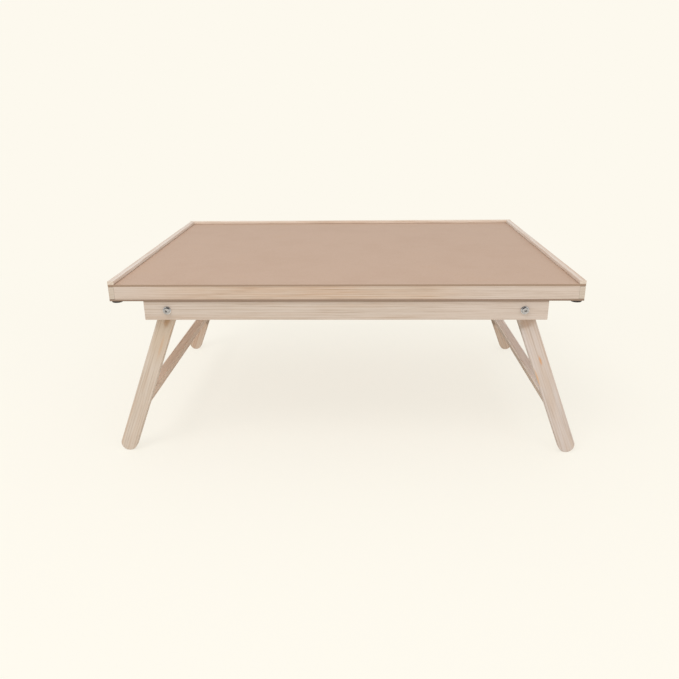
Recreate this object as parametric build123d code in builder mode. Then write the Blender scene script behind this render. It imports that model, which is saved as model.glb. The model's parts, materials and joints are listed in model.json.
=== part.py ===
from build123d import *
import os
from math import atan, cos, degrees, pi, sin, sqrt

# A folding puzzle table: a shallow box with four drawers, on two splayed leg frames.
# The origin is on the floor under the middle of the table. X runs along the table, Y from its
# open front edge to its back, Z up. The legs stand open and the drawers are shut.
# All lengths are in millimetres.

# ---- Driving dimensions ----

# The whole table
table_length = 762.0
table_depth = 558.8
table_height = 317.5

# Top sheet, bottom sheet and the rim on three edges of the top
board_thickness = 3.3
panel_thickness = 3.0
sheet_corner_radius = 0.8
rim_width = 10.2
rim_height = 6.0
rim_round = 1.5

# Frame between the two sheets
frame_height = 21.2
rail_thickness = 18.0
divider_thickness = 12.0
stop_thickness = 12.0

# Aprons under the box
apron_height = 33.0
apron_thickness = 15.0
apron_recess = 3.0
apron_past_pivot = 37.4
apron_round = 1.2

# Legs
leg_width = 28.0
leg_thickness = 14.0
foot_overhang = 6.8
leg_chamfer = 1.2
leg_clearance = 2.5
stop_clearance = 0.2
fold_gap = 3.6

# Stretchers between the legs, with a tenon at each end
stretcher_width = 28.0
stretcher_thickness = 15.0
stretcher_along = 171.0
stretcher_round = 1.2
tenon_width = 20.0
tenon_thickness = 7.0
tenon_length = 9.0

# Pivot bolts, each head and nut with a corner straight up
bolt_radius = 3.0
bolt_head_flats = 10.0
bolt_corner_turn = 30.0
bolt_head_height = 4.0
bolt_head_chamfer = 0.7
bolt_tail = 2.0
washer_radius = 6.6
washer_thickness = 1.2
nut_height = 6.0
running_clearance = 0.05
bolt_hole_clearance = 0.15
side_play = 0.3

# Drawers
drawer_front_thickness = 9.0
drawer_front_gap = 0.5
drawer_front_round = 1.0
drawer_side_thickness = 8.0
drawer_back_thickness = 8.0
drawer_bottom_thickness = 3.0
drawer_bottom_lift = 2.0
drawer_groove_depth = 4.0
drawer_back_inset = 8.0
drawer_side_clearance = 1.0
drawer_floor_clearance = 0.4
drawer_head_clearance = 2.1
drawer_stop_clearance = 1.5

# Knobs, each turned in one piece with the peg that holds it
knob_radius = 6.0
knob_length = 9.6
knob_crown_radius = 3.6
knob_crown_height = 2.4
knob_neck_radius = 3.8
knob_neck_length = 2.6
knob_peg_radius = 2.5
knob_peg_length = 6.0

# Rubber pads under the corners of the box
pad_radius = 9.4
pad_tip_radius = 8.6
pad_height = 3.4
pad_inset = 9.8

# ---- Levels and places that follow from them ----

board_top = table_height - rim_height
board_bottom = board_top - board_thickness
panel_top = board_bottom - frame_height
panel_bottom = panel_top - panel_thickness

drawer_front_inner = table_length / 2 - drawer_front_thickness
frame_length = 2 * (drawer_front_inner - drawer_front_gap)
bay_outer = table_depth / 2 - rail_thickness
bay_inner = divider_thickness / 2
bay_width = bay_outer - bay_inner
bay_centre = (bay_outer + bay_inner) / 2

# The legs splay so far that, open, their feet stand just past the ends of the table and,
# folded, they just meet under its middle.
pivot_drop = leg_width / 2 + leg_clearance
pivot_z = panel_bottom - pivot_drop
leg_rise = pivot_z - leg_width / 2
leg_room = table_length / 2 + foot_overhang - leg_width / 2 - fold_gap
splay = pi / 2 - 2 * atan(leg_rise / leg_room)
leg_reach = leg_rise / cos(splay)
pivot_x = leg_reach + leg_width / 2 + fold_gap

apron_length = 2 * (pivot_x + apron_past_pivot)
apron_face = table_depth / 2 - apron_recess
apron_middle = apron_face - apron_thickness / 2
leg_outer_face = apron_face - apron_thickness - side_play
leg_inner_face = leg_outer_face - leg_thickness
leg_middle = (leg_outer_face + leg_inner_face) / 2

side_names = {-1: "left", 1: "right"}
row_names = {-1: "front", 1: "rear"}
corners = [(side, row) for side in side_names for row in row_names]

os.makedirs("parts", exist_ok=True)


def save(builder, name):
    """Label the finished piece and write it to its own file."""
    builder.part.label = name
    export_step(builder.part, f"parts/{name}.step")


# ---- The box: two sheets, a frame between them and a rim on three edges ----

with BuildPart() as work_surface:
    with BuildSketch(Plane.XY.offset(board_bottom)):
        RectangleRounded(table_length, table_depth, sheet_corner_radius)
    extrude(amount=board_thickness)
save(work_surface, "work_surface")

with BuildPart() as bottom_panel:
    with BuildSketch(Plane.XY.offset(panel_bottom)):
        RectangleRounded(table_length, table_depth, sheet_corner_radius)
    extrude(amount=panel_thickness)
save(bottom_panel, "bottom_panel")

# The rear rail of the rim runs the full length, and the side rails butt against it.
for side, side_name in side_names.items():
    with BuildPart() as side_rim:
        with BuildSketch(Plane.XZ.offset(table_depth / 2)) as rim_section:
            with Locations((side * (table_length - rim_width) / 2, board_top)):
                Rectangle(rim_width, rim_height, align=(Align.CENTER, Align.MIN))
            fillet(rim_section.vertices().group_by(Axis.Y)[-1], rim_round)
        extrude(amount=rim_width - table_depth)
    save(side_rim, f"{side_name}_rim_rail")

with BuildPart() as rear_rim:
    with BuildSketch(Plane.YZ) as rim_section:
        with Locations(((table_depth - rim_width) / 2, board_top)):
            Rectangle(rim_width, rim_height, align=(Align.CENTER, Align.MIN))
        fillet(rim_section.vertices().group_by(Axis.Y)[-1], rim_round)
    extrude(amount=table_length / 2, both=True)
save(rear_rim, "rear_rim_rail")

for row, row_name in row_names.items():
    with BuildPart() as frame_rail:
        with BuildSketch(Plane.XY.offset(panel_top)):
            with Locations((0, row * (table_depth - rail_thickness) / 2)):
                Rectangle(frame_length, rail_thickness)
        extrude(amount=frame_height)
    save(frame_rail, f"{row_name}_frame_rail")

    with BuildPart() as drawer_stop:
        with BuildSketch(Plane.XY.offset(panel_top)):
            with Locations((0, row * bay_centre)):
                Rectangle(stop_thickness, bay_width)
        extrude(amount=frame_height)
    save(drawer_stop, f"{row_name}_drawer_stop")

with BuildPart() as drawer_divider:
    with BuildSketch(Plane.XY.offset(panel_top)):
        Rectangle(frame_length, divider_thickness)
    extrude(amount=frame_height)
save(drawer_divider, "drawer_divider")

with BuildPart() as corner_pads:
    with Locations(Location((0, 0, panel_bottom), (180, 0, 0))):
        with GridLocations(table_length - 2 * pad_inset, table_depth - 2 * pad_inset, 2, 2):
            Cone(pad_radius, pad_tip_radius, pad_height, align=(Align.CENTER, Align.CENTER, Align.MIN))
save(corner_pads, "corner_pads")

# ---- Aprons, and the bolts that the legs turn on ----


def pivot_places(depth):
    """The four pivots at one depth from the table's middle, each with Z pointing out of its apron."""
    return [
        Location((side * pivot_x, row * depth, pivot_z), (-90 * row, 0, 0)) for side, row in corners
    ]


for row, row_name in row_names.items():
    with BuildPart() as apron:
        with BuildSketch(Plane.XZ.offset(-row * apron_middle)):
            with Locations((0, panel_bottom)):
                Rectangle(apron_length, apron_height, align=(Align.CENTER, Align.MAX))
        extrude(amount=apron_thickness / 2, both=True)
        fillet(apron.edges().group_by(Axis.Z)[0], apron_round)
        with Locations(*pivot_places(apron_middle)):
            Cylinder(bolt_radius + bolt_hole_clearance, apron_thickness, mode=Mode.SUBTRACT)
    save(apron, f"{row_name}_apron")

nut_seat = leg_inner_face - side_play - washer_thickness
bolt_length = apron_face + washer_thickness - nut_seat + nut_height + bolt_tail

with BuildPart() as bolt:
    with BuildSketch(Plane.XY):
        RegularPolygon(bolt_head_flats / 2, 6, major_radius=False, rotation=bolt_corner_turn)
    extrude(amount=bolt_head_height)
    chamfer(bolt.faces().sort_by(Axis.Z)[-1].edges(), bolt_head_chamfer)
    with BuildSketch(Plane.XY):
        Circle(bolt_radius)
    extrude(amount=-bolt_length)

with BuildPart() as pivot_bolts:
    with Locations(*pivot_places(apron_face + washer_thickness)):
        add(bolt.part)
save(pivot_bolts, "pivot_bolts")

with BuildPart() as washer:
    with BuildSketch(Plane.XY):
        Circle(washer_radius)
        Circle(bolt_radius + bolt_hole_clearance, mode=Mode.SUBTRACT)
    extrude(amount=washer_thickness)

with BuildPart() as pivot_washers:
    with Locations(*pivot_places(apron_face), *pivot_places(nut_seat)):
        add(washer.part)
save(pivot_washers, "pivot_washers")

with BuildPart() as nut:
    with BuildSketch(Plane.XY):
        RegularPolygon(bolt_head_flats / 2, 6, major_radius=False, rotation=bolt_corner_turn)
        Circle(bolt_radius, mode=Mode.SUBTRACT)
    extrude(amount=-nut_height)

with BuildPart() as pivot_nuts:
    with Locations(*pivot_places(nut_seat)):
        add(nut.part)
save(pivot_nuts, "pivot_nuts")

# ---- Leg frames ----


def leg_plane(side, depth):
    """Upright plane at one depth, its origin on the pivot and its X axis pointing out."""
    return Plane(origin=(side * pivot_x, depth, pivot_z), x_dir=(side, 0, 0), z_dir=(0, -side, 0))


def leg_point(along, across):
    """A point of the open leg in its plane, from the pivot: down the leg, and outwards across it."""
    return (along * sin(splay) + across * cos(splay), across * sin(splay) - along * cos(splay))


# The stretcher lies flush with the inner edges of its legs.
stretcher_across = (stretcher_thickness - leg_width) / 2

# The top end swings about the pivot on an arc, up to a flat that meets the underside of the
# box when the leg is open and stops it there.
top_radius = pivot_drop - stop_clearance
arc_end = leg_point(-sqrt(top_radius**2 - (leg_width / 2) ** 2), -leg_width / 2)
stop_corner = leg_point((leg_width / 2 * sin(splay) - top_radius) / cos(splay), leg_width / 2)

for side, side_name in side_names.items():
    with BuildPart() as stretcher:
        with BuildSketch(leg_plane(side, 0)):
            with Locations(leg_point(stretcher_along, stretcher_across)):
                Rectangle(stretcher_thickness, stretcher_width, rotation=degrees(splay))
        extrude(amount=leg_inner_face, both=True)
        fillet(stretcher.edges().filter_by(Axis.Y), stretcher_round)
        with BuildSketch(leg_plane(side, 0)):
            with Locations(leg_point(stretcher_along, stretcher_across)):
                Rectangle(tenon_thickness, tenon_width, rotation=degrees(splay))
        extrude(amount=leg_inner_face + tenon_length, both=True)
    save(stretcher, f"{side_name}_stretcher")

    for row, row_name in row_names.items():
        with BuildPart() as leg:
            with BuildSketch(leg_plane(side, row * leg_middle)):
                with BuildLine():
                    inner_edge = Line(arc_end, leg_point(leg_reach, -leg_width / 2))
                    foot = ThreePointArc(
                        inner_edge @ 1,
                        leg_point(leg_reach + leg_width / 2, 0),
                        leg_point(leg_reach, leg_width / 2),
                    )
                    outer_edge = Line(foot @ 1, stop_corner)
                    stop_flat = Line(outer_edge @ 1, (0, top_radius))
                    RadiusArc(stop_flat @ 1, inner_edge @ 0, -top_radius)
                make_face()
            extrude(amount=leg_thickness / 2, both=True)
            chamfer(leg.faces().filter_by(Axis.Y).edges(), leg_chamfer)
            with BuildSketch(leg_plane(side, row * leg_middle)):
                Circle(bolt_radius + running_clearance)
            extrude(amount=leg_thickness / 2, both=True, mode=Mode.SUBTRACT)
            add(stretcher.part, mode=Mode.SUBTRACT)
        save(leg, f"{side_name}_{row_name}_leg")

# ---- Drawers: each joint's housing is cut by the piece that sits in it ----

drawer_length = drawer_front_inner - stop_thickness / 2 - drawer_stop_clearance
drawer_width = bay_width - 2 * drawer_side_clearance
drawer_inner_width = drawer_width - 2 * drawer_side_thickness
drawer_side_offset = (drawer_width - drawer_side_thickness) / 2
drawer_side_height = frame_height - drawer_floor_clearance - drawer_head_clearance
drawer_low = panel_top + drawer_floor_clearance
drawer_bottom_level = drawer_low + drawer_bottom_lift
drawer_inside_level = drawer_bottom_level + drawer_bottom_thickness
drawer_high = drawer_low + drawer_side_height
back_face = drawer_length - drawer_back_inset

drawer_front_width = table_depth / 2 - drawer_front_gap / 2
drawer_front_centre = (table_depth / 2 + drawer_front_gap / 2) / 2
drawer_front_height = frame_height - 2 * drawer_front_gap
knob_z = panel_top + frame_height / 2

# The knob is a button on a short neck, turned about its own axis.
with BuildPart() as knob_turning:
    with BuildSketch(Plane.XZ):
        with BuildLine():
            Polyline(
                (0, knob_length),
                (knob_crown_radius, knob_length),
                (knob_radius, knob_length - knob_crown_height),
                (knob_radius, knob_neck_length),
                (knob_neck_radius, knob_neck_length),
                (knob_neck_radius, 0),
                (knob_peg_radius, 0),
                (knob_peg_radius, -knob_peg_length),
                (0, -knob_peg_length),
                close=True,
            )
        make_face()
    revolve(axis=Axis.Z)


def drawer_plane(side, row, height):
    """Level plane of a drawer, its origin behind the drawer front and its X axis pointing out."""
    return Plane(origin=(side * drawer_front_inner, row * bay_centre, height), x_dir=(side, 0, 0))


for side, row in corners:
    drawer_name = f"{side_names[side]}_{row_names[row]}_drawer"

    with BuildPart() as drawer_bottom:
        with BuildSketch(drawer_plane(side, row, drawer_bottom_level)):
            with Locations((drawer_groove_depth, 0)):
                Rectangle(
                    back_face + drawer_groove_depth,
                    drawer_inner_width + 2 * drawer_groove_depth,
                    align=(Align.MAX, Align.CENTER),
                )
        extrude(amount=drawer_bottom_thickness)
    save(drawer_bottom, f"{drawer_name}_bottom")

    with BuildPart() as drawer_back:
        with BuildSketch(drawer_plane(side, row, drawer_inside_level)):
            with Locations((-back_face, 0)):
                Rectangle(
                    drawer_back_thickness,
                    drawer_inner_width + 2 * drawer_groove_depth,
                    align=(Align.MIN, Align.CENTER),
                )
        extrude(amount=drawer_high - drawer_inside_level)
    save(drawer_back, f"{drawer_name}_back")

    drawer_sides = []
    for facing, facing_name in row_names.items():
        with BuildPart() as drawer_side:
            with BuildSketch(drawer_plane(side, row, drawer_low)):
                with Locations((drawer_groove_depth, side * facing * drawer_side_offset)):
                    Rectangle(
                        drawer_length + drawer_groove_depth,
                        drawer_side_thickness,
                        align=(Align.MAX, Align.CENTER),
                    )
            extrude(amount=drawer_side_height)
            add(drawer_bottom.part, mode=Mode.SUBTRACT)
            add(drawer_back.part, mode=Mode.SUBTRACT)
        save(drawer_side, f"{drawer_name}_{facing_name}_side")
        drawer_sides.append(drawer_side.part)

    knob_seat = (side * table_length / 2, row * drawer_front_centre, knob_z)
    with BuildPart() as drawer_knob:
        with Locations(Location(knob_seat, (0, 90 * side, 0))):
            add(knob_turning.part)
    save(drawer_knob, f"{drawer_name}_knob")

    with BuildPart() as drawer_front:
        with BuildSketch(Plane.YZ.offset(side * drawer_front_inner)):
            with Locations((row * drawer_front_centre, knob_z)):
                Rectangle(drawer_front_width, drawer_front_height)
        extrude(amount=side * drawer_front_thickness)
        fillet(drawer_front.faces().sort_by(Axis.X)[-1 if side > 0 else 0].edges(), drawer_front_round)
        add([drawer_bottom.part, drawer_knob.part, *drawer_sides], mode=Mode.SUBTRACT)
    save(drawer_front, f"{drawer_name}_front")
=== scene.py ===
import json
import logging
from collections.abc import Callable, Iterator
from contextlib import contextmanager
from dataclasses import dataclass
from enum import Enum
from functools import partial
from math import cos, pi, radians, sin, tau

import bmesh
import bpy
from bpy.types import Material, NodeSocket, NodeTree, Object
from mathutils import Matrix, Vector


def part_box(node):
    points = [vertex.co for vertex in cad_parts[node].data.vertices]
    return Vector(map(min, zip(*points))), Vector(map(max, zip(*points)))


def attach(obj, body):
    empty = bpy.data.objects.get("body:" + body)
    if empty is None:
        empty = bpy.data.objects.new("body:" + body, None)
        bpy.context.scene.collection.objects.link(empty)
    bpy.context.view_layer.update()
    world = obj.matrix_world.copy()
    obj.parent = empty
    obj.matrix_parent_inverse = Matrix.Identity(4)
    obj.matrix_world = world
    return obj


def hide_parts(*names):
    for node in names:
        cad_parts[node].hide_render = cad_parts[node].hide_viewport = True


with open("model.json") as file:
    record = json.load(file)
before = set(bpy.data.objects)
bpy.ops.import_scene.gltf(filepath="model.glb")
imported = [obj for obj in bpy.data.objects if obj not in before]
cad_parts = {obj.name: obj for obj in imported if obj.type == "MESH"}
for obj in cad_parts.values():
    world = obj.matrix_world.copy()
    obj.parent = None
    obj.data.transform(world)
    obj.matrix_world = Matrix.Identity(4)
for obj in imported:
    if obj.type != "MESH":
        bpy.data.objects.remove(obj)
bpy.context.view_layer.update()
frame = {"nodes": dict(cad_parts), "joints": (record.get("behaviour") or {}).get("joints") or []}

# Dresses the folding puzzle table: a shallow box with four drawers on two folding leg frames.
# Lengths are in metres unless a name ends in _mm. X runs along the table, Y from its open front
# edge to its back, Z up from the floor. Every place is read from the CAD frame's own boxes.

log = logging.getLogger("puzzle_table")
MM = 0.001
# A point this close to a face or an end counts as on it.
NEAR = 0.01 * MM
NODES = frame["nodes"]
X_AXIS = Vector((1, 0, 0))
Y_AXIS = Vector((0, 1, 0))
Z_AXIS = Vector((0, 0, 1))
Place = tuple[float, float, float]
EdgeTest = Callable[[bmesh.types.BMEdge], bool]


class Way(Enum):
    """One of two opposite ways along an axis, by its sign."""

    @property
    def word(self) -> str:
        """The way's name as the CAD nodes write it."""
        return self.name.lower()


class Side(Way):
    """The two short ends of the table, by the sign of X."""

    LEFT = -1
    RIGHT = 1


class Row(Way):
    """The open front edge and the rear edge, by the sign of Y."""

    FRONT = -1
    REAR = 1


CORNERS = [(side, row) for side in Side for row in Row]


def hinge_place(side: Side) -> Vector:
    """Find where one leg frame's pivot axis crosses the table's middle plane."""
    name = f"{side.word}_leg_fold"
    return next(Vector(joint["pos_m"]) for joint in frame["joints"] if joint["name"] == name)


# ---- Colours, nodes and finished pieces ----


def linear(hex_colour: str) -> tuple[float, float, float, float]:
    """Turn an sRGB hex colour to a linear one.

    Args:
        hex_colour: The colour, such as "#D2BAA4".

    Returns:
        Linear red, green and blue, and an alpha of 1.
    """
    parts = [int(hex_colour[i : i + 2], 16) / 255 for i in (1, 3, 5)]
    lit = [p / 12.92 if p <= 0.04045 else ((p + 0.055) / 1.055) ** 2.4 for p in parts]
    return (*lit, 1.0)


def add_node(
    tree: NodeTree,
    kind: str,
    *values: object,
    named: dict | None = None,
    stops: tuple = (),
    out: str = "",
    **settings: object,
) -> NodeSocket | None:
    """Add one shader node with its settings and links.

    Args:
        tree: The node tree that it goes in.
        kind: The node's type name without its "ShaderNode" start.
        *values: Plain values, hex colours or feeding outputs, for the inputs in use in their
            order. A noise texture has its space, scale, detail and roughness, Map Range its
            value, two ends and what they give.
        named: The same for inputs by name.
        stops: Colour stops for a ramp, as place and hex colour.
        out: The wanted output, where that isn't the first in use.
        **settings: Properties of the node itself.

    Returns:
        The wanted output, or None from a node that ends the tree.
    """
    node = tree.nodes.new(f"ShaderNode{kind}")
    for name, value in settings.items():
        setattr(node, name, value)
    in_use = [socket for socket in node.inputs if socket.enabled]
    by_name = [(node.inputs[name], value) for name, value in (named or {}).items()]
    for socket, value in [*zip(in_use, values), *by_name]:
        if isinstance(value, NodeSocket):
            tree.links.new(value, socket)
        else:
            socket.default_value = linear(value) if isinstance(value, str) else value
    for number, (place, colour) in enumerate(stops):
        elements = node.color_ramp.elements
        element = elements[number] if number < len(elements) else elements.new(place)
        element.position = place
        element.color = linear(colour)
    return next((socket for socket in node.outputs if socket.enabled and out in ("", socket.name)), None)


def new_material(name: str) -> tuple[Material, Callable[..., NodeSocket]]:
    """Start an empty node material.

    Args:
        name: The material's name.

    Returns:
        The material, and add_node for its tree.
    """
    material = bpy.data.materials.new(name)
    material.use_nodes = True
    material.node_tree.nodes.clear()
    return material, partial(add_node, material.node_tree)


def close(
    material: Material, add: Callable[..., NodeSocket], relief: tuple[float, float], height: NodeSocket,
    colour: NodeSocket, rough: NodeSocket, **more: float,
) -> Material:
    """Join a finish's relief, colour and roughness to the material's surface.

    Args:
        material: The material.
        add: add_node for its tree.
        relief: The relief's strength, and its depth in millimetres.
        height: Its height from 0 to 1.
        colour: The finish's colour.
        rough: Its roughness.
        **more: Other values of the surface, their spaces written as underscores.

    Returns:
        The material.
    """
    strength, depth = relief
    bump = add("Bump", strength, depth * MM, named={"Height": height})
    surface = {"Base Color": colour, "Roughness": rough, "Normal": bump}
    surface |= {name.replace("_", " "): value for name, value in more.items()}
    add("OutputMaterial", add("BsdfPrincipled", named=surface))
    return material


def dress(obj: Object, *materials: Material) -> None:
    """Give an object its materials, and leave each face on the slot that it has.

    Args:
        obj: The object.
        *materials: One material for each slot.
    """
    slots = [face.material_index for face in obj.data.polygons]
    obj.data.materials.clear()
    for material in materials:
        obj.data.materials.append(material)
    obj.data.polygons.foreach_set("material_index", slots)


def dress_node(node: str, material: Material) -> None:
    """Dress a CAD node that stays in view, and log it."""
    dress(NODES[node], material)
    log.info("%-30s CAD node dressed", node)


def settle(obj: Object, name: str, body: str, slot: str, finish: list[Material], *nodes: str) -> None:
    """Finish a new piece: name it, dress it, and let it ride and stand for its CAD nodes.

    Args:
        obj: The finished object, its place in its mesh.
        name: The piece's name.
        body: The CAD body that it moves with.
        slot: The record's material slot; not used.
        finish: What it is made of, one material for each slot of its faces.
        *nodes: The CAD nodes that it stands for.
    """
    obj.name = name
    obj.data.name = name
    dress(obj, *finish)
    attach(obj, body)
    if nodes:
        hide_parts(*nodes)
    log.info("%-30s %6d faces, rides on %s", name, len(obj.data.polygons), body)


# ---- Meshes ----


def deselect_all() -> None:
    """Leave edit mode, and leave nothing selected."""
    if bpy.context.mode != "OBJECT":
        bpy.ops.object.mode_set(mode="OBJECT")
    bpy.ops.object.select_all(action="DESELECT")


def activate(obj: Object) -> None:
    """Select one object alone, and make it the active one.

    Args:
        obj: The object.
    """
    deselect_all()
    obj.select_set(True)
    bpy.context.view_layer.objects.active = obj


def discard(obj: Object) -> None:
    """Take a tool or a pattern out of the scene."""
    bpy.data.objects.remove(obj, do_unlink=True)


def primitive(add: Callable[..., object], **sizes: object) -> Object:
    """Add one primitive, and put its place into its mesh.

    Args:
        add: The operator that adds it.
        **sizes: The operator's own sizes and place.

    Returns:
        The new object, the only one selected.
    """
    deselect_all()
    add(**sizes)
    bpy.ops.object.transform_apply(location=True, rotation=True, scale=True)
    return bpy.context.object


def turned(sides: int, radius: float, low: float, high: float, top: float | None = None) -> Object:
    """Model a plain bar or cone along the Z axis.

    Args:
        sides: How many sides it has.
        radius: Its radius at the lower end.
        low: The height of its lower end.
        high: The height of its upper end.
        top: Its radius at the upper end, where that is another.

    Returns:
        The bar.
    """
    sizes = {"vertices": sides, "depth": high - low, "location": (0, 0, (low + high) / 2)}
    if top is None:
        return primitive(bpy.ops.mesh.primitive_cylinder_add, radius=radius, **sizes)
    return primitive(bpy.ops.mesh.primitive_cone_add, radius1=radius, radius2=top, **sizes)


@contextmanager
def editing(obj: Object) -> Iterator[None]:
    """Hold one object in edit mode for the length of a block.

    Args:
        obj: The object.

    Yields:
        Nothing.
    """
    activate(obj)
    bpy.ops.object.mode_set(mode="EDIT")
    yield
    bpy.ops.object.mode_set(mode="OBJECT")


def middle(edge: bmesh.types.BMEdge) -> Vector:
    """Give an edge's middle."""
    return (edge.verts[0].co + edge.verts[1].co) / 2


def way(edge: bmesh.types.BMEdge) -> Vector:
    """Give an edge's unit direction."""
    return (edge.verts[1].co - edge.verts[0].co).normalized()


def pick(kind: str, test: Callable[[bmesh.types.BMFace | bmesh.types.BMEdge], bool]) -> None:
    """In edit mode, select the faces or edges that pass a test and no others.

    Args:
        kind: FACE or EDGE.
        test: Says whether a face or an edge is wanted.
    """
    bpy.ops.mesh.select_mode(type=kind)
    bpy.ops.mesh.select_all(action="DESELECT")
    mesh = bmesh.from_edit_mesh(bpy.context.edit_object.data)
    for part in mesh.faces if kind == "FACE" else mesh.edges:
        part.select_set(test(part))
    bmesh.update_edit_mesh(bpy.context.edit_object.data)


def is_sharp(edge: bmesh.types.BMEdge) -> bool:
    """Say whether an edge's two faces meet at more than 60 degrees."""
    return edge.calc_face_angle(0.0) > radians(60)


def round_edges(test: EdgeTest, radius: float, segments: int = 2) -> None:
    """In edit mode, round the edges that pass a test."""
    pick("EDGE", test)
    bpy.ops.mesh.bevel(offset=radius, segments=segments)


def draw_out(by: Vector | Place) -> None:
    """In edit mode, extrude what is selected by a vector."""
    bpy.ops.mesh.extrude_region_move(TRANSFORM_OT_translate={"value": by})


def weld(distance: float = 0.001 * MM) -> None:
    """In edit mode, select everything and join the corners that meet."""
    bpy.ops.mesh.select_all(action="SELECT")
    bpy.ops.mesh.remove_doubles(threshold=distance)


def cut_off(point: Vector, outward: Vector) -> None:
    """In edit mode, saw off what lies outward of a point, and close the cut."""
    bpy.ops.mesh.select_all(action="SELECT")
    bpy.ops.mesh.bisect(plane_co=point, plane_no=outward, use_fill=True, clear_outer=True)


def apply_modifier(obj: Object, kind: str, **settings: object) -> None:
    """Put a modifier on an object and apply it.

    Args:
        obj: The object.
        kind: The modifier's type.
        **settings: Its properties.
    """
    activate(obj)
    modifier = obj.modifiers.new(kind.lower(), kind)
    for name, value in settings.items():
        setattr(modifier, name, value)
    bpy.ops.object.modifier_apply(modifier=modifier.name)


def carve(obj: Object, tool: Object, operation: str = "DIFFERENCE") -> None:
    """Cut a piece with a tool, and take the tool away."""
    apply_modifier(obj, "BOOLEAN", operation=operation, solver="EXACT", object=tool)
    discard(tool)


def bore(obj: Object, centre: Vector, axis: Vector, radius: float, depth: float = 40 * MM) -> None:
    """Drill a round hole through a piece.

    Args:
        obj: The piece.
        centre: The middle of the drill.
        axis: The drill's direction.
        radius: The hole's radius.
        depth: The drill's whole length.
    """
    turn = Z_AXIS.rotation_difference(axis).to_euler()
    sizes = {"vertices": 40, "radius": radius, "depth": depth}
    carve(obj, primitive(bpy.ops.mesh.primitive_cylinder_add, location=centre, rotation=turn, **sizes))


def soften(obj: Object, degrees: float = 30) -> None:
    """Shade a piece smooth, with its broad faces kept flat up to their eased edges.

    Args:
        obj: The piece.
        degrees: The angle from which an edge stays sharp.
    """
    activate(obj)
    bpy.ops.object.shade_smooth_by_angle(angle=radians(degrees))
    apply_modifier(obj, "WEIGHTED_NORMAL", keep_sharp=True)


def plane_board(
    low: Vector, high: Vector, ease: float, rounded: EdgeTest | None = None, radius: float = 0.0
) -> Object:
    """Model a straight board: sawn to size, its edges eased, some of them well rounded.

    Args:
        low: The board's lowest corner.
        high: Its highest corner.
        ease: How far the plain edges are eased.
        rounded: Picks the edges that are rounded first.
        radius: The radius of those edges.

    Returns:
        The board.
    """
    cube = bpy.ops.mesh.primitive_cube_add
    board = primitive(cube, size=1, location=(low + high) / 2, scale=high - low)
    with editing(board):
        if rounded:
            round_edges(rounded, radius, 6)
        round_edges(is_sharp, ease)
    soften(board)
    return board


def place_copy(pattern: Object, place: Vector, outward: Vector) -> Object:
    """Copy a piece that was modelled about the origin along +Z, with a mesh of its own.

    Args:
        pattern: The piece to copy.
        place: Where the pattern's origin goes.
        outward: Where the pattern's Z axis points.

    Returns:
        The copy, its place applied to its mesh.
    """
    copy = pattern.copy()
    copy.data = pattern.data.copy()
    bpy.context.scene.collection.objects.link(copy)
    turn = Z_AXIS.rotation_difference(outward).to_matrix().to_4x4()
    copy.data.transform(Matrix.Translation(place) @ turn)
    return copy


# ---- Finishes ----


@dataclass(frozen=True)
class Knot:
    """A knot, a resin streak or a patch of painted shade: a dark ellipsoid in the wood, drawn out along the
    grain.
    """

    centre: Place
    radius_mm: float
    length_mm: float
    colour: str
    depth: float = 0.85


@dataclass(frozen=True)
class Tone:
    """A slow change of a board's colour, from one place to another along a direction."""

    way: Place
    start: float
    stop: float
    colour: str = "#D3C5BA"
    share: float = 0.8


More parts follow.
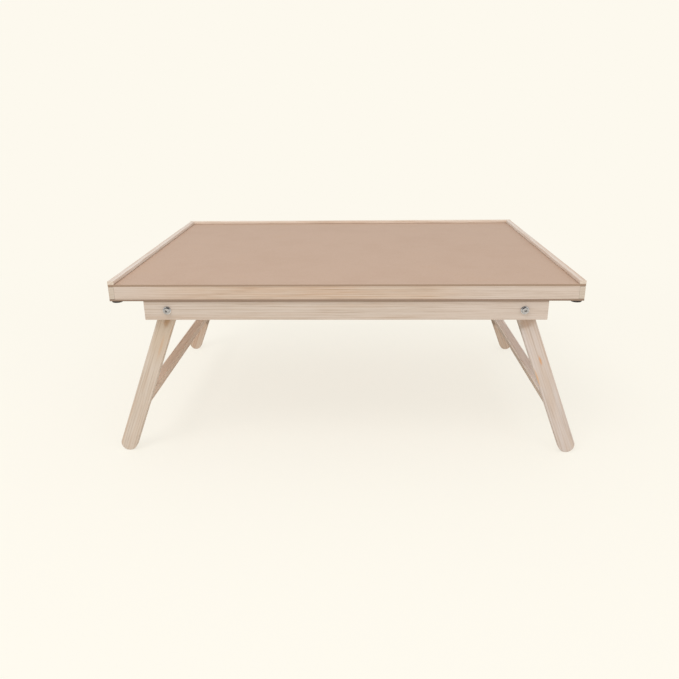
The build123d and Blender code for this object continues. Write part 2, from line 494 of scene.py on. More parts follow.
@dataclass(frozen=True)
class PlanedPine:
    """Pine, planed and sealed with a thin matt varnish.

    The saw and plane leave long, nearly straight growth lines, pale early wood with thin tan
    late wood, fine fibre streaks and slow changes of tone. Towards sapwood it turns paler and a
    cooler grey. End grain is a little greyer too. Some boards carry painted shade where other
    parts overhang them, and painted highlights on upper edges.
    """

    name: str
    grain: Place
    heart: Place
    pale: str = "#D1BFAF"
    late: str = "#A6825F"
    warm: str = "#CFA98A"
    end: str = "#CABDAE"
    end_line: str = "#AE9A84"
    ring_gap_mm: float = 4.2
    line_strength: float = 0.42
    warmth: float = 0.42
    tones: tuple[Tone, ...] = ()
    knots: tuple[Knot, ...] = ()

    def make(self) -> Material:
        """Build the material.

        Returns:
            The material, its pattern fixed in Object coordinates.
        """
        material, add = new_material(self.name)
        here = add("TexCoord", out="Object")
        grain = Vector(self.grain).normalized()
        turn = X_AXIS.rotation_difference(grain).to_euler()

        # Rings run round the log's heart. The pattern is drawn out 16 times along the grain.
        log_space = add("Mapping", here, self.heart, turn, (16, 1, 1), vector_type="TEXTURE")
        # A wave of scale (pi / 10) / gap has one ring to each gap.
        shape = {"wave_type": "RINGS", "rings_direction": "X", "wave_profile": "SAW"}
        waver = {"Distortion": 4.5, "Detail": 3.0, "Detail Scale": 0.14, "Detail Roughness": 0.6}
        rings = add("TexWave", log_space, pi / 10 / (self.ring_gap_mm * MM), named=waver, out="Fac", **shape)
        late_wood = ((0.0, "#000000"), (0.5, "#3C3C3C"), (0.86, "#FFFFFF"), (0.95, "#E0E0E0"))
        line = add("ValToRGB", rings, stops=(*late_wood, (1.0, "#000000")))

        # Tone drifts over about 40 mm across the grain and 600 mm along it.
        tone = add("TexNoise", log_space, 1 / (40 * MM), 3.0, 0.6)
        # Streaks of denser wood are about 7 mm wide and 110 mm long.
        streak = add("TexNoise", log_space, 1 / (7 * MM), 3.0, 0.65)
        faded = add("MapRange", streak, 0.35, 0.62, 0.12, self.line_strength)
        lined = add("Math", line, faded, operation="MULTIPLY")
        wood = add("Mix", lined, self.pale, self.late, data_type="RGBA")
        mellow = add("Math", tone, streak, operation="ADD")
        warm = add("MapRange", mellow, 0.92, 1.3, 0.0, self.warmth)
        wood = add("Mix", warm, wood, self.warm, data_type="RGBA")

        # Each tone is a slow colour change: the wood's own drift, a painted shadow or a painted highlight.
        for patch in self.tones:
            along = add("VectorMath", here, patch.way, operation="DOT_PRODUCT")
            # Map Range takes its ends in rising order, so its results turn round with them.
            (low, at_low), (high, at_high) = sorted(((patch.start, 0.0), (patch.stop, patch.share)))
            share = add("MapRange", along, low, high, at_low, at_high, interpolation_type="SMOOTHSTEP")
            wood = add("Mix", share, wood, patch.colour, data_type="RGBA")

        # Fibres are really 0.03 mm wide; drawn 1.5 mm wide and 90 mm long so that they show.
        fibre_space = add("Mapping", here, self.heart, turn, (60, 1, 1), vector_type="TEXTURE")
        fibre = add("TexNoise", fibre_space, 1 / (1.5 * MM), 4.0, 0.7)
        shade = add("ValToRGB", fibre, stops=((0.3, "#E2DAD2"), (0.48, "#FAF8F5"), (0.62, "#FFFFFF")))
        wood = add("Mix", 1.0, wood, shade, data_type="RGBA", blend_type="MULTIPLY")

        # Each mark is a knot, a resin streak, or a patch of painted shade under an overhanging part.
        for mark in self.knots:
            size = Vector((mark.length_mm, mark.radius_mm, mark.radius_mm)) * MM
            mark_space = add("Mapping", here, mark.centre, turn, size, vector_type="TEXTURE")
            wavy = add("TexNoise", mark_space, 1.4, 3.0, out="Color")
            bent = add("VectorMath", wavy, (0.5, 0.5, 0.5), operation="SUBTRACT")
            near = add("VectorMath", mark_space, bent, operation="ADD")
            reach = add("VectorMath", near, operation="LENGTH")
            dark = add("MapRange", reach, 0.2, 1.1, mark.depth, 0.0, interpolation_type="SMOOTHSTEP")
            wood = add("Mix", dark, wood, mark.colour, data_type="RGBA")

        # A face across the grain shows end grain.
        facing = add("VectorMath", add("TexCoord", out="Normal"), grain, operation="DOT_PRODUCT")
        is_end = add("MapRange", add("Math", facing, operation="ABSOLUTE"), 0.75, 0.97, 0.0, 0.85)
        pores = add("TexNoise", here, 1 / (0.9 * MM), 3.0, 0.7)
        end_lined = add("Math", lined, 0.8, operation="MULTIPLY")
        end = add("Mix", end_lined, self.end, self.end_line, data_type="RGBA")
        wood = add("Mix", is_end, wood, end, data_type="RGBA")

        matt = add("MapRange", fibre, 0.3, 0.7, 0.66, 0.5)
        relief = add("Mix", is_end, fibre, pores, data_type="FLOAT")
        height = add("Math", lined, 0.6, relief, operation="MULTIPLY_ADD")
        return close(material, add, (0.35, 0.25), height, wood, matt, IOR=1.45, Specular_IOR_Level=0.35)


@dataclass(frozen=True)
class Hardboard:
    """Hardboard, wet-pressed wood fibre with one smooth face, sawn to size.

    Pressing mats the fibres flat: an even pinkish tan with faint fibre flecks and soft clouds.
    The sawn edge is darker and shows the layered mat.
    """

    name: str
    face: str = "#C2A58F"
    fleck: str = "#AD8D76"
    edge: str = "#9E8672"
    edge_line: str = "#8A7361"

    def make(self) -> Material:
        """Build the material.

        Returns:
            The material, its pattern fixed in Object coordinates.
        """
        material, add = new_material(self.name)
        here = add("TexCoord", out="Object")
        # Flecks are bundles of fibre, about 2 mm wide and matted in every direction.
        flecks = add("TexNoise", here, 1 / (2.2 * MM), 5.0, 0.7)
        flecked = add("MapRange", flecks, 0.5, 0.75, 0.0, 0.45)
        clouds = add("TexNoise", here, 1 / (70 * MM), 4.0, 0.6)
        cloudy = add("ValToRGB", clouds, stops=((0.25, "#FBF9F7"), (0.55, "#FFFFFF"), (0.8, "#FFFDFA")))
        face = add("Mix", flecked, self.face, self.fleck, data_type="RGBA")
        face = add("Mix", 1.0, face, cloudy, data_type="RGBA", blend_type="MULTIPLY")

        # The mat's layers are really under 0.1 mm; drawn 0.7 mm thick so that they show.
        mat_space = add("Mapping", here, named={"Scale": (3, 3, 1)}, vector_type="TEXTURE")
        layers = add("TexNoise", mat_space, 1 / (0.7 * MM), 4.0, 0.7)
        edge = add("ValToRGB", layers, stops=((0.3, self.edge_line), (0.5, self.edge)))
        upright = add("VectorMath", add("TexCoord", out="Normal"), Z_AXIS, operation="DOT_PRODUCT")
        is_face = add("MapRange", add("Math", upright, operation="ABSOLUTE"), 0.55, 0.85, 0.0, 1.0)
        colour = add("Mix", is_face, edge, face, data_type="RGBA")
        matt = add("Mix", is_face, 0.8, 0.56, data_type="FLOAT")
        relief = add("Mix", is_face, layers, flecks, data_type="FLOAT")
        return close(material, add, (0.25, 0.15), relief, colour, matt, IOR=1.45, Specular_IOR_Level=0.35)


@dataclass(frozen=True)
class ZincPlatedSteel:
    """Steel, cold headed and bright zinc plated.

    A bright, slightly blue-grey metal with the fine scuffs of tumbling in a barrel. The sides
    that face up carry painted shade, a dark painted reflection of the shaded box underside.
    """

    name: str
    bright: str = "#D9DADD"
    dull: str = "#B4B7BC"
    film: str = "#463F3C"

    def make(self) -> Material:
        """Build the material.

        Returns:
            The material, its pattern fixed in Object coordinates.
        """
        material, add = new_material(self.name)
        here = add("TexCoord", out="Object")
        # Scuffs are about 0.4 mm apart; the plating's bloom changes over 4 mm.
        scuffs = add("TexNoise", here, 1 / (0.4 * MM), 4.0, 0.7)
        bloom = add("TexNoise", here, 1 / (4 * MM), 3.0)
        plating = add("ValToRGB", bloom, stops=((0.35, self.dull), (0.6, self.bright)))
        # Sides that face up are painted dark: painted shade for the reflection of the box's underside.
        upward = add("SeparateXYZ", add("TexCoord", out="Normal"), out="Z")
        shaded_upward = add("MapRange", upward, 0.15, 0.32, 0.0, 1.0)
        colour = add("Mix", shaded_upward, plating, self.film, data_type="RGBA")
        rough = add("MapRange", scuffs, 0.3, 0.7, 0.24, 0.44)
        return close(material, add, (0.15, 0.05), scuffs, colour, rough, Metallic=1.0)


@dataclass(frozen=True)
class TurnedBeech:
    """Steamed beech, turned on a lathe and waxed.

    Steaming makes it pinkish brown. Short dark flecks lie along the grain, with faint rings
    from the turning tool, under a soft shine.
    """

    name: str
    axis: Place
    centre: Place
    wood: str = "#BE957C"
    fleck: str = "#97694D"
    bright: str = "#CDA78F"

    def make(self) -> Material:
        """Build the material.

        Returns:
            The material, its pattern fixed in Object coordinates.
        """
        material, add = new_material(self.name)
        here = add("TexCoord", out="Object")
        turn = X_AXIS.rotation_difference(Vector(self.axis)).to_euler()
        # Beech flecks are about 0.7 mm wide and 4 mm long.
        fleck_space = add("Mapping", here, self.centre, turn, (6, 1, 1), vector_type="TEXTURE")
        flecks = add("TexNoise", fleck_space, 1 / (0.7 * MM), 3.0, 0.6)
        colour = add("ValToRGB", flecks, stops=((0.32, self.fleck), (0.48, self.wood), (0.75, self.bright)))
        # The tool's rings are 0.6 mm apart along the knob's own axis.
        tool_space = add("Mapping", here, self.centre, turn, vector_type="TEXTURE")
        shape = {"wave_type": "BANDS", "bands_direction": "X"}
        tool = add("TexWave", tool_space, pi / 10 / (0.6 * MM), 0.4, out="Fac", **shape)
        rough = add("MapRange", flecks, 0.3, 0.7, 0.5, 0.36)
        return close(material, add, (0.12, 0.05), tool, colour, rough, IOR=1.45)


@dataclass(frozen=True)
class MouldedRubber:
    """Black rubber, compression moulded.

    A dull near-black with the fine spark-eroded grain of the mould and a little dust.
    """

    name: str
    rubber: str = "#26201B"
    dust: str = "#463E36"

    def make(self) -> Material:
        """Build the material.

        Returns:
            The material, its pattern fixed in Object coordinates.
        """
        material, add = new_material(self.name)
        grit = add("TexNoise", add("TexCoord", out="Object"), 1 / (0.5 * MM), 3.0, 0.7)
        colour = add("ValToRGB", grit, stops=((0.5, self.rubber), (0.78, self.dust)))
        rough = add("MapRange", grit, 0.3, 0.7, 0.65, 0.85)
        return close(material, add, (0.3, 0.08), grit, colour, rough, IOR=1.5)


@dataclass(frozen=True)
class StudioPaper:
    """Cream background paper, rolled smooth.

    Near the table it is lit and keeps its shadow; past that it turns to the even background.
    It can't be seen from below, so that the table's underside can.
    """

    name: str = "studio_paper"
    paper: str = "#FFFBEF"
    tooth: str = "#FEFAEE"
    paper_in_bounce: str = "#F2ECE0"
    glow_near: float = 0.74
    lit_radius: float = 0.75
    faded_radius: float = 1.6

    def make(self) -> Material:
        """Build the material.

        Returns:
            The material.
        """
        material, add = new_material(self.name)
        here = add("TexCoord", out="Object")
        camera_ray = add("LightPath", out="Is Camera Ray")
        grain = add("TexNoise", here, 1 / (3 * MM), 3.0)
        tooth = add("ValToRGB", grain, stops=((0.3, self.tooth), (0.7, self.paper)))
        seen = add("Mix", camera_ray, self.paper_in_bounce, tooth, data_type="RGBA")
        plain = {"Base Color": seen, "Roughness": 0.9, "Specular IOR Level": 0.0}
        lit = add("BsdfPrincipled", named=plain)
        reach = add("VectorMath", here, operation="LENGTH")
        spread = (self.lit_radius, self.faded_radius, self.glow_near, 1.0)
        fade = add("MapRange", reach, *spread, interpolation_type="SMOOTHSTEP")
        mirrored = add("Math", camera_ray, add("LightPath", out="Is Glossy Ray"), operation="MAXIMUM")
        amount = add("Math", fade, mirrored, operation="MULTIPLY")
        blend = add("MixShader", amount, lit, add("Emission", self.paper, 1.0))
        behind = add("NewGeometry", out="Backfacing")
        from_below = add("Math", behind, camera_ray, operation="MULTIPLY")
        add("OutputMaterial", add("MixShader", from_below, blend, add("BsdfTransparent")))
        return material


# ---- Pivot hardware ----


@dataclass(frozen=True)
class CrossRecess:
    """A cross recess, punched into a head that faces +Z."""

    span: float
    slot: float
    depth: float
    tip_shares: Place = (0.45, 0.6, 1)
    skin: float = 0.05 * MM

    def punch(self, head: Object, level: float) -> None:
        """Punch the recess, and give its walls the second material, a painted shade.

        Args:
            head: The head.
            level: The height of its top.
        """
        size = (self.span, self.slot, 2 * self.depth)
        for turn in (pi / 4, -pi / 4):
            cube = bpy.ops.mesh.primitive_cube_add
            arm = primitive(cube, size=1, location=(0, 0, level), rotation=(0, 0, turn), scale=size)
            with editing(arm):
                # The punch narrows towards its tip.
                pick("FACE", lambda face: face.normal.z < -0.9)
                bpy.ops.transform.resize(value=self.tip_shares, center_override=(0, 0, level - self.depth))
            carve(head, arm)
        # Walls deep in the recess take the near-black second material: painted shade in the hollow.
        for face in head.data.polygons:
            inside = face.center.xy.length < self.span * 0.6
            sunk = level - self.depth * 1.1 < face.center.z < level - self.skin
            face.material_index = int(inside and sunk)


@dataclass
class PivotHardware:
    """The four pivot bolts, each with two washers and a lock nut."""

    head_flats: float = 10.0 * MM
    head_height: float = 4.0 * MM
    top_share: float = 0.84
    chamfer_fall: float = 0.5
    recess: CrossRecess = CrossRecess(5.4 * MM, 1.7 * MM, 2.4 * MM)
    shank_radius: float = 3.0 * MM
    rod_ease: float = 0.3 * MM
    rod_overlap: float = 0.5 * MM
    thread_pitch: float = 1.0 * MM
    thread_depth: float = 0.45 * MM
    thread_start: float = 0.4 * MM
    crest_share: float = 0.4
    crest_wear: float = 0.015 * MM
    core_gap: float = 0.05 * MM
    threaded_length: float = 11.0 * MM
    tip_length: float = 2.0 * MM
    washer_radius: float = 6.6 * MM
    washer_thickness: float = 1.2 * MM
    washer_play: float = 0.15 * MM
    washer_ease: float = 0.25 * MM
    nut_height: float = 6.0 * MM
    collar_height: float = 1.9 * MM
    collar_radius: float = 4.2 * MM
    collar_round: float = 1.1 * MM
    collar_sunk: float = 0.6 * MM
    lip_width: float = 0.15 * MM
    lip_depth: float = 0.3 * MM

    def hexagon(self, height: float) -> Object:
        """Model a hexagon whose outer corners are turned off to a cone, as on a bolt or nut.

        Args:
            height: How far it stands up from the origin along Z.

        Returns:
            The hexagon, its free end up and a corner towards +Y.
        """
        half = self.head_flats / 2
        head = turned(6, half / cos(pi / 6), 0, height)
        # The turning tool's cone leaves a round top a little smaller than the flats.
        top = half * self.top_share
        cone_height = height * 1.25
        foot = top + cone_height / self.chamfer_fall
        carve(head, turned(72, foot, height - cone_height, height, top), "INTERSECT")
        return head

    def thread(self, low: float, high: float) -> Object:
        """Model a screw thread round Z by winding the edges of a V, closed at both ends.

        Args:
            low: Where the thread starts, along Z.
            high: Where it ends.

        Returns:
            The thread's skin.
        """
        pitch = self.thread_pitch
        root = self.shank_radius - self.thread_depth
        first, last = low + pitch / 2, high - pitch / 2
        plane = bpy.ops.mesh.primitive_plane_add
        coil = primitive(plane, size=pitch, location=(root - pitch / 2, 0, first), rotation=(pi / 2, 0, 0))
        with editing(coil):
            # Only the square's outer edge is kept. Its middle is drawn out to the crest.
            pick("EDGE", lambda edge: middle(edge).x < root - pitch * 0.9)
            bpy.ops.mesh.delete(type="VERT")
            bpy.ops.mesh.select_all(action="SELECT")
            bpy.ops.mesh.subdivide(number_cuts=3)
            pick("EDGE", lambda edge: abs(middle(edge).z - first) < pitch * 0.2)
            bpy.ops.transform.resize(value=(1, 1, self.crest_share), center_override=(root, 0, first))
            bpy.ops.transform.translate(value=(self.thread_depth - self.crest_wear, 0, 0))
        winding = {"screw_offset": pitch, "iterations": round((high - low) / pitch) - 1}
        winding |= {"axis": "Z", "angle": tau, "steps": 24, "render_steps": 24, "use_merge_vertices": True}
        apply_modifier(coil, "SCREW", **winding)
        with editing(coil):
            weld()
            # Each open end is drawn in to a point on the axis, inside the rod.
            for apex in (first, last):
                pick("EDGE", lambda edge: abs(middle(edge).z - apex) < pitch and edge.is_boundary)
                bpy.ops.mesh.extrude_region_move()
                bpy.ops.transform.resize(value=(0, 0, 0), center_override=(0, 0, apex))
            weld()
            bpy.ops.mesh.normals_make_consistent(inside=False)
        return coil

    def bolt(self, length: float) -> Object:
        """Model one bolt: its head stands up from the origin and its shank hangs below.

        Args:
            length: From under the head to the tip.

        Returns:
            The bolt.
        """
        head = self.hexagon(self.head_height)
        self.recess.punch(head, self.head_height)
        split = -length + self.threaded_length
        core = self.shank_radius - self.thread_depth - self.core_gap
        rods = [
            turned(40, core, -length, split + self.rod_overlap),
            turned(40, self.shank_radius, split, self.rod_overlap),
        ]
        for rod in rods:
            with editing(rod):
                round_edges(is_sharp, self.rod_ease)
        thread = self.thread(-length + self.thread_start, split)
        activate(head)
        for part in (*rods, thread):
            part.select_set(True)
        bpy.ops.object.join()
        soften(head, 28)
        return head

    def washer(self) -> Object:
        """Model one stamped washer that lies on the origin: a ring with rolled edges.

        Returns:
            The washer.
        """
        thick = self.washer_thickness
        ring = turned(64, self.washer_radius, 0, thick)
        bore(ring, Z_AXIS * thick / 2, Z_AXIS, self.shank_radius + self.washer_play, 4 * MM)
        with editing(ring):
            round_edges(is_sharp, self.washer_ease, 3)
        soften(ring, 35)
        return ring

    def nut(self) -> Object:
        """Model one lock nut: a hexagon, and the rolled collar that holds its nylon ring.

        Returns:
            The nut, its collar up.
        """
        foot = self.nut_height - self.collar_height
        body = self.hexagon(foot)
        collar = turned(56, self.collar_radius, foot - self.collar_sunk, self.nut_height)
        top = self.nut_height - NEAR
        with editing(collar):
            round_edges(lambda edge: middle(edge).z > top, self.collar_round, 6)
            pick("FACE", lambda face: face.normal.z > 0.99 and face.calc_center_median().z > top)
            bpy.ops.mesh.inset(thickness=self.lip_width)
            bpy.ops.transform.translate(value=(0, 0, -self.lip_depth))
        carve(body, collar, "UNION")
        soften(body, 35)
        return body

    def build(self) -> None:
        """Model each fastener once and set a copy at every pivot."""
        head_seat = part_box("pivot_bolts")[1].y - self.head_height
        apron_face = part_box("pivot_washers")[1].y - self.washer_thickness
        leg_low, leg_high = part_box("right_rear_leg")
        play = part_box("rear_apron")[0].y - leg_high.y
        nut_seat = leg_low.y - play - self.washer_thickness
        length = head_seat - (nut_seat - self.nut_height - self.tip_length)
        # One zinc plating in lit and shaded copies: painted highlight on the washers, painted shade on heads
        # and nuts.
        bright = ZincPlatedSteel("bright_zinc_plated_steel", bright="#EAEBED", dull="#CFD1D5").make()
        shaded_zinc = ZincPlatedSteel("zinc_plated_forged_steel", bright="#C6C4C4", dull="#ADABAA").make()
        recess_shade = ZincPlatedSteel("oily_zinc_plated_recess", bright="#45413F", dull="#2C2928").make()
        patterns = {"bolt": self.bolt(length), "washer": self.washer(), "nut": self.nut()}
        finishes = {"bolt": [shaded_zinc, recess_shade], "washer": [bright], "nut": [shaded_zinc]}
        for side, row in CORNERS:
            out = Y_AXIS * row.value
            places = (
                ("bolt", "pivot_bolts", "", head_seat, out),
                ("washer", "pivot_washers", "_outer", apron_face, out),
                ("washer", "pivot_washers", "_inner", nut_seat + self.washer_thickness, -out),
                ("nut", "pivot_nuts", "", nut_seat, -out),
            )
            for kind, node, suffix, depth, facing in places:
                piece = place_copy(patterns[kind], hinge_place(side) + out * depth, facing)
                name = f"{side.word}_{row.word}_pivot_{kind}{suffix}"
                settle(piece, name, "table_box", "zinc_steel", finishes[kind], node)
        for pattern in patterns.values():
            discard(pattern)


# ---- Drawers and pads ----


@dataclass
class Knob:
    """A drawer's turned knob: a rounded button on a short neck."""

    button_radius: float = 6.0 * MM
    neck_radius: float = 3.8 * MM
    neck_length: float = 2.6 * MM
    length: float = 9.6 * MM
    rings: int = 9
    roundness: float = 2.6
    widest_share: float = 0.42

    def profile(self) -> list[tuple[float, float]]:
        """Work out the button's rings, from the neck to the top.

        Returns:
            Each ring's radius, and its height above the neck.
        """
        widest = self.widest_share
        rings = []
        for step in range(1, 2 * self.rings):
            share = (1 - cos(pi * step / (2 * self.rings))) / 2
            part = (share - widest) / (widest if share < widest else 1 - widest)
            radius = self.button_radius * (1 - abs(part) ** self.roundness) ** (1 / self.roundness)
            least = self.neck_radius if part < 0 else 0.0
            rings.append((max(radius, least), share * (self.length - self.neck_length)))
        return [*rings, (rings[-1][0] / 2, self.length - self.neck_length)]

    def pattern(self) -> Object:
        """Model the knob up the Z axis from the origin, ring by ring.

        Returns:
            The knob.
        """
        knob = turned(56, self.neck_radius, 0, self.neck_length)
        with editing(knob):
            pick("FACE", lambda face: face.normal.z > 0.9)
            old_radius, old_rise = self.neck_radius, 0.0
            for radius, rise in self.profile():
                draw_out((0, 0, rise - old_rise))
                grow, level = radius / old_radius, self.neck_length + rise
                bpy.ops.transform.resize(value=(grow, grow, 1), center_override=(0, 0, level))
                old_radius, old_rise = radius, rise
            bpy.ops.mesh.select_all(action="SELECT")
            bpy.ops.mesh.normals_make_consistent(inside=False)
        soften(knob, 40)
        return knob


@dataclass
class Drawer:
    """One drawer: front, two sides, back and thin bottom, with its knob."""

    side: Side
    row: Row
    knob_pattern: Object

    @property
    def name(self) -> str:
        """The drawer's body name."""
        return f"{self.side.word}_{self.row.word}_drawer"

    def dress_boards(self) -> None:
        """Give the boards their wood, each with its own figure."""
        low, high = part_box(f"{self.name}_front")
        shift = 0.03 * self.side.value * self.row.value
        figures = {
            "front": (Y_AXIS, (low + high) / 2 + Vector((0.012, 0.2, -0.085 + shift))),
            "front_side": (X_AXIS, (0, low.y + 0.03, 0.22 + shift)),
            "rear_side": (X_AXIS, (0, high.y - 0.02, 0.38 - shift)),
            "back": (Y_AXIS, (self.side.value * 0.02, 0, 0.24)),
        }
        for part, (grain, heart) in figures.items():
            node = f"{self.name}_{part}"
            dress_node(node, PlanedPine(f"planed_pine_{node}", tuple(grain), tuple(heart)).make())
        dress_node(f"{self.name}_bottom", Hardboard(f"hardboard_{self.name}_bottom").make())

    def fit_knob(self) -> None:
        """Set a copy of the knob on the middle of the drawer front."""
        low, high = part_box(f"{self.name}_front")
        seat = (low + high) / 2
        seat.x = high.x if self.side is Side.RIGHT else low.x
        outward = X_AXIS * self.side.value
        knob = place_copy(self.knob_pattern, seat, outward)
        finish = TurnedBeech(f"turned_beech_{self.name}_knob", tuple(outward), tuple(seat)).make()
        settle(knob, f"{self.name}_turned_knob", self.name, "knob_wood", [finish], f"{self.name}_knob")

    def build(self) -> None:
        """Dress the drawer and fit its knob."""
        self.dress_boards()
        self.fit_knob()


@dataclass
class CornerPads:
    """The round rubber pads under the four outer corners of the box."""

    radius: float = 9.4 * MM
    tip_share: float = 0.915
    round_over: float = 0.9 * MM
    rim_width: float = 1.8 * MM
    dish_slope: float = 0.4 * MM
    dish_depth: float = 0.4 * MM

    def build(self) -> None:
        """Model one pad along Z and set it, turned over, at each corner."""
        low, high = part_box("corner_pads")
        height = high.z - low.z
        pad = turned(64, self.radius, 0, height, self.radius * self.tip_share)
        with editing(pad):
            tip = height * 0.9
            round_edges(lambda edge: middle(edge).z > tip and abs(way(edge).z) < 0.1, self.round_over, 5)
            pick("FACE", lambda face: face.normal.z > 0.95)
            bpy.ops.mesh.inset(thickness=self.rim_width)
            bpy.ops.mesh.inset(thickness=self.dish_slope)
            bpy.ops.transform.translate(value=(0, 0, -self.dish_depth))
        soften(pad, 35)
        rubber = MouldedRubber("moulded_black_rubber").make()
        for side, row in CORNERS:
            x, y = side.value * (high.x - self.radius), row.value * (high.y - self.radius)
            piece = place_copy(pad, Vector((x, y, high.z)), -Z_AXIS)
            name = f"{side.word}_{row.word}_corner_pad"
            settle(piece, name, "table_box", "rubber", [rubber], "corner_pads")
        discard(pad)


# ---- Box and legs ----


@dataclass
class PanelScrews:
    """The countersunk screws that hold the bottom sheet to the frame rails and the divider."""

    head_radius: float = 3.3 * MM
    head_depth: float = 1.8 * MM
    proud: float = 0.05 * MM
    edge_gap: float = 0.15 * MM
    recess: CrossRecess = CrossRecess(3.4 * MM, 0.9 * MM, 1.2 * MM)
    along_rail: tuple[float, ...] = (-0.34, -0.17, 0.0, 0.17, 0.34)
    along_divider: tuple[float, ...] = (-0.17, 0.0, 0.17)

    def build(self) -> None:
        """Model one screw head, and sink a copy at each place."""
        head = turned(40, self.head_radius - self.head_depth, -self.head_depth, 0, self.head_radius)
        with editing(head):
            pick("FACE", lambda face: face.normal.z > 0.9)
            bpy.ops.mesh.bevel(offset=self.edge_gap, segments=2)
        self.recess.punch(head, 0.0)
        soften(head)
        bright = ZincPlatedSteel("bright_zinc_plated_screw").make()
        # The screws' recesses are painted near black: painted shade in the hollow.
        recess_shade = ZincPlatedSteel("oily_zinc_plated_screw_recess", bright="#5B5653", dull="#3E3A38").make()
        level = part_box("bottom_panel")[0].z - self.proud
        rail_low, rail_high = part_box("rear_frame_rail")
        rail = (rail_low.y + rail_high.y) / 2
        rows = {"front_rail": (-rail, self.along_rail), "rear_rail": (rail, self.along_rail)}
        rows["divider"] = (0.0, self.along_divider)
        for row, (depth, places) in rows.items():
            for count, along in enumerate(places, start=1):
                piece = place_copy(head, Vector((along, depth, level)), -Z_AXIS)
                name = f"{row}_panel_screw_{count}"
                settle(piece, name, "table_box", "zinc_steel", [bright, recess_shade])
        discard(head)


@dataclass
class Box:
    """The table's box: top sheet, bottom sheet, rim, frame, divider, stops and aprons."""

    ease: float = 0.3 * MM
    sheet_ease: float = 0.15 * MM
    sheet_corner: float = 0.8 * MM
    rim_round: float = 1.5 * MM
    rim_foot_ease: float = 0.9 * MM
    # The drawer fronts shut close against the ends of the long rails.
    rail_reach: float = 0.35 * MM
    apron_round: float = 1.2 * MM
    # A painted shadow darkens the apron's top, under the bottom sheet's edge.
    grime_width: float = 4.0 * MM
    bolt_hole: float = 3.15 * MM

    def sheets(self) -> None:
        """Model the two hardboard sheets, their corners just taken off."""
        edges = {"work_surface": ("#A48C78", "#947C68"), "bottom_panel": ("#978170", "#836F60")}
        corner = self.sheet_corner
        for node, (sawn, line) in edges.items():
            low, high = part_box(node)
            sheet = plane_board(low, high, self.sheet_ease, lambda edge: abs(way(edge).z) > 0.9, corner)
            finish = Hardboard(f"hardboard_{node}", edge=sawn, edge_line=line).make()
            settle(sheet, f"{node}_sheet", "table_box", "hardboard", [finish], node)

    def rims(self) -> None:
        """Model the three rim rails: tops rounded over, and feet eased where they meet the sheet."""
        end_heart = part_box("work_surface")[1].x - 0.055
        rear_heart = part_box("rear_rim_rail")[1].y + 0.05
        side_wood = {"pale": "#E9DED4", "late": "#CBB198", "end": "#DACBBB"}
        rear_wood = {"pale": "#EDDDCD", "late": "#D0B49B"}
        rails = (
            ("left_rim_rail", X_AXIS, (-end_heart, -0.1, -0.07), side_wood),
            ("right_rim_rail", -X_AXIS, (end_heart, 0.1, -0.07), side_wood),
            ("rear_rim_rail", -Y_AXIS, (0, rear_heart, -0.09), rear_wood),
        )
        for node, inward, (x, y, drop), wood in rails:
            low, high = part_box(node)
            inner = high if inward.x > 0 else low
            across = Z_AXIS.cross(inward)
            half = (low.z + high.z) / 2
            rail = plane_board(
                low,
                high,
                self.ease,
                lambda edge: abs(way(edge).dot(across)) > 0.9 and middle(edge).z > half,
                self.rim_round,
            )
            # The eased foot leaves a fine dark line on the sheet.
            with editing(rail):
                round_edges(
                    lambda edge: abs(way(edge).dot(across)) > 0.9
                    and abs((middle(edge) - inner).dot(inward)) < MM
                    and middle(edge).z < low.z + 0.2 * MM,
                    self.rim_foot_ease,
                )
                weld()
            soften(rail)
            grain = tuple(abs(part) for part in across)
            finish = PlanedPine(f"planed_pine_{node}", grain, (x, y, low.z + drop), **wood).make()
            settle(rail, f"{node}_board", "table_box", "pine", [finish], node)

    def frame_boards(self) -> None:
        """Model the two long frame rails, and dress the boards that are hidden between the sheets."""
        hearts = {Row.FRONT: (0.1, -0.262, 0.215), Row.REAR: (-0.2, 0.259, 0.40)}
        tones = (Tone((1, 0, 0), 0.12, 0.24), Tone((1, 0, 0), -0.2, -0.38))
        reach = X_AXIS * self.rail_reach
        for row in Row:
            node = f"{row.word}_frame_rail"
            low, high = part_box(node)
            finish = PlanedPine(f"planed_pine_{node}", (1, 0, 0), hearts[row], ring_gap_mm=3.6, tones=tones)
            board = plane_board(low - reach, high + reach, self.ease / 2)
            settle(board, f"{node}_board", "table_box", "pine", [finish.make()], node)
        hidden = {
            "drawer_divider": ((1, 0, 0), (0, 0.02, 0.22)),
            "front_drawer_stop": ((0, 1, 0), (0.01, 0, 0.23)),
            "rear_drawer_stop": ((0, 1, 0), (-0.01, 0, 0.37)),
        }
        for node, (grain, heart) in hidden.items():
            dress_node(node, PlanedPine(f"planed_pine_{node}", grain, heart).make())

    def aprons(self) -> None:
        """Model the two aprons, lower edges rounded, bored for the pivot bolts."""
        wood = {"pale": "#D2C4B8", "late": "#A99279", "warm": "#CBAC93", "warmth": 0.25}
        for row in Row:
            node = f"{row.word}_apron"
            low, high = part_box(node)
            depth = (low.y + high.y) / 2
            board = plane_board(
                low,
                high,
                self.ease,
                lambda edge: middle(edge).z < low.z + MM and abs(way(edge).z) < 0.1,
                self.apron_round,
            )
            for side in Side:
                bore(board, hinge_place(side) + Y_AXIS * depth, Y_AXIS, self.bolt_hole)
            soften(board)
            heart = (0.3 * row.value, depth + 0.04, low.z - 0.085)
            # Painted shadow of the bottom sheet's overhang along the apron's top edge.
            sheet_shadow = Tone((0, 0, 1), high.z - self.grime_width, high.z - MM, "#8E7663", 0.7)
            tones = (Tone((1, 0, 0), 0.08, 0.24), sheet_shadow)
            finish = PlanedPine(f"planed_pine_{node}", (1, 0, 0), heart, tones=tones, **wood).make()
            settle(board, f"{node}_board", "table_box", "pine", [finish], node)

